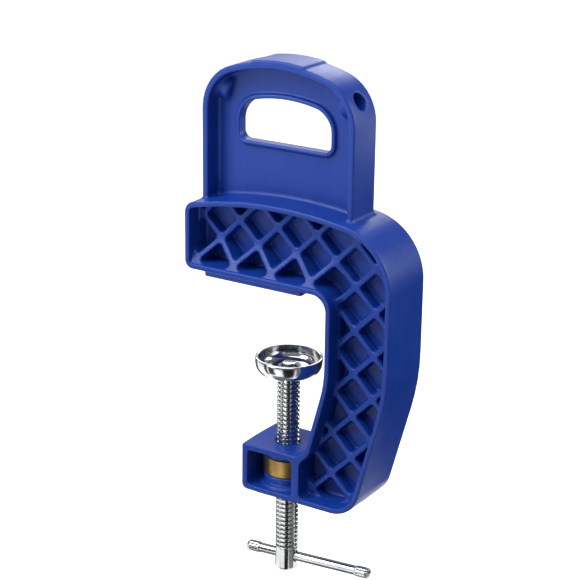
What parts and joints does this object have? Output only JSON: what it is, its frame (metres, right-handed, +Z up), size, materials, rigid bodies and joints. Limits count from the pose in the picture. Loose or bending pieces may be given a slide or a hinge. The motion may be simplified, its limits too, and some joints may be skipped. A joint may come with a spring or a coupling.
{
  "type": "table clamp",
  "caption": "Moulded C-shaped table clamp with a handle plate, a threaded spindle with a dished pressure pad and a sliding tommy bar.",
  "frame": {"origin": "point of the upper jaw's clamping face that lies on the spindle's axis", "axes": "+Z up along the spindle towards the upper jaw, +X from the spindle towards the spine, Y across the frame's thickness"},
  "size_m": [0.1209, 0.035, 0.2744],
  "materials": {
    "blue_plastic": "satin royal blue moulded nylon",
    "nut_brass": "turned brass",
    "spindle_zinc": "bright zinc plate on rolled steel thread",
    "ring_steel": "oiled spring steel",
    "washer_zinc": "bright zinc plate",
    "pad_chrome": "bright chrome plate on pressed steel",
    "bar_zinc": "bright zinc plate"
  },
  "bodies": {
    "frame": {"c_frame": "blue_plastic", "threaded_nut": "nut_brass"},
    "swivel": {"thrust_washer": "washer_zinc"},
    "screw": {"spindle": "spindle_zinc", "retaining_ring": "ring_steel"},
    "bar": {"tommy_bar": "bar_zinc"},
    "pad": {"pressure_pad": "pad_chrome"}
  },
  "joints": [
    {"name": "screw_feed", "type": "slide", "parent": "frame", "child": "swivel", "axis": [0, 0, 1], "range_m": [-0.0355, 0.0361]},
    {"name": "screw_turn", "type": "hinge", "parent": "swivel", "child": "screw", "pos_m": [0, 0, -0.0494], "axis": [0, 0, 1], "range_deg": [-5110, 5180]},
    {"name": "bar_slide", "type": "slide", "parent": "screw", "child": "bar", "axis": [0.9951, 0.0993, 0], "range_m": [-0.0343, 0.0087]},
    {"name": "pad_tilt", "type": "hinge", "parent": "swivel", "child": "pad", "pos_m": [0, 0, -0.0473], "axis": [0, 1, 0], "range_deg": [-3, 3]}
  ],
  "couplings": [
    {"joint": "screw_feed", "follows": "screw_turn", "m_per_rad": 0.00039789}
  ]
}
